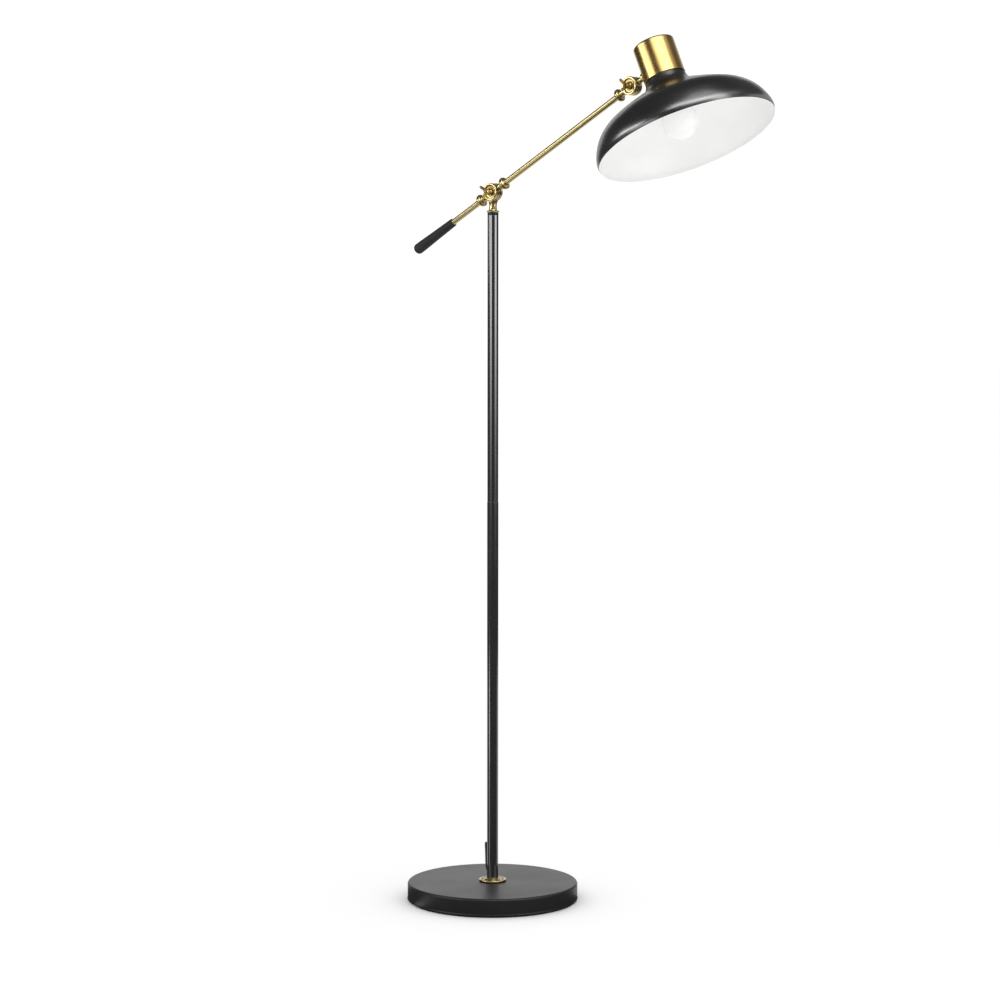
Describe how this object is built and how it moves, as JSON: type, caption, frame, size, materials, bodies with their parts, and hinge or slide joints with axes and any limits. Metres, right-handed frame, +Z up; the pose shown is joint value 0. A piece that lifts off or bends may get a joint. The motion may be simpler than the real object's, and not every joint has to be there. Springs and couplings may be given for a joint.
{
  "type": "pharmacy floor lamp",
  "caption": "Black and brass pharmacy floor lamp: weighted round base, straight pole, clamped tilting arm with a grip, and a wide dished shade under a metal cap.",
  "frame": {"origin": "centre of the base's underside, on the floor and on the pole's axis", "axes": "+Z up along the pole, +X the way the arm and shade reach, metres in the packed row"},
  "size_m": [0.7789, 0.3343, 1.474],
  "materials": {
    "base_paint": "satin black powder coat",
    "rubber_black": "matte",
    "grip_rubber": "matte, finely textured",
    "iron": "rough",
    "steel": "plain zinc plate",
    "brass": "polished antique brass",
    "pole_paint": "gloss black",
    "shade_paint": "satin black outside, white inside",
    "cap_gold": "brushed gold",
    "socket_white": "glazed white",
    "bulb_frosted": "frosted white",
    "switch_plastic": "moulded"
  },
  "bodies": {
    "stand": {"base_cover": "base_paint", "base_pad": "rubber_black", "base_ballast": "iron", "base_bottom_plate": "steel", "base_screw_1": "steel", "base_screw_2": "steel", "base_screw_3": "steel", "base_nipple": "steel", "base_washer": "steel", "base_nut": "steel", "base_collar": "brass", "pole_lower": "pole_paint", "pole_upper": "pole_paint", "pole_coupler": "steel", "pole_foot_bush": "steel", "pole_top_bush": "steel", "pole_top_ring": "base_paint", "strain_relief": "rubber_black", "pole_cable": "rubber_black", "cord_from_pole": "rubber_black", "cord_coil": "rubber_black", "cord_to_switch": "rubber_black", "cord_to_plug": "rubber_black", "switch_base": "switch_plastic", "switch_cover": "switch_plastic", "plug_body": "rubber_black", "plug_blade_1": "steel", "plug_blade_2": "steel"},
    "pivot": {"pivot_post": "brass", "swivel_washer": "steel", "swivel_nut": "steel", "pivot_washer_front": "steel", "pivot_washer_rear": "steel", "pivot_bolt": "brass"},
    "pivot_key": {"pivot_key": "brass"},
    "arm": {"arm_knuckle": "brass", "arm_tube": "brass", "arm_cable": "rubber_black", "grip_rod": "brass", "grip": "grip_rubber", "head_fork": "brass", "head_washer_front": "steel", "head_washer_rear": "steel", "head_bolt": "brass"},
    "head_key": {"head_key": "brass"},
    "head": {"head_knuckle": "brass", "stub_nut": "steel", "cap": "cap_gold", "shade": "shade_paint", "socket_body": "socket_white", "shade_ring": "socket_white", "socket_shell": "brass", "socket_contact": "brass", "socket_nipple": "steel", "cap_crossbar": "steel", "nipple_nut": "steel", "bulb_glass": "bulb_frosted", "bulb_base": "steel"},
    "switch_button": {"switch_button": "rubber_black"}
  },
  "joints": [
    {"name": "arm_swivel", "type": "hinge", "parent": "stand", "child": "pivot", "pos_m": [0, 0, 1.1926], "axis": [0, 0, 1], "range_deg": [-170, 170]},
    {"name": "arm_tilt", "type": "hinge", "parent": "pivot", "child": "arm", "pos_m": [0, 0, 1.232], "axis": [0, -1, 0], "range_deg": [-72, 17]},
    {"name": "pivot_key_turn", "type": "hinge", "parent": "pivot", "child": "pivot_key", "pos_m": [0, 0, 1.232], "axis": [0, -1, 0], "range_deg": [0, 270]},
    {"name": "head_tilt", "type": "hinge", "parent": "arm", "child": "head", "pos_m": [0.31283, 0, 1.39554], "axis": [0, -1, 0], "range_deg": [-45, 90]},
    {"name": "head_key_turn", "type": "hinge", "parent": "arm", "child": "head_key", "pos_m": [0.31283, 0, 1.39554], "axis": [0, -1, 0], "range_deg": [0, 270]},
    {"name": "button_press", "type": "slide", "parent": "stand", "child": "switch_button", "axis": [0, 0, -1], "range_m": [0, 0.002], "stiffness_N_per_m": 600, "springref_m": -0.002}
  ]
}
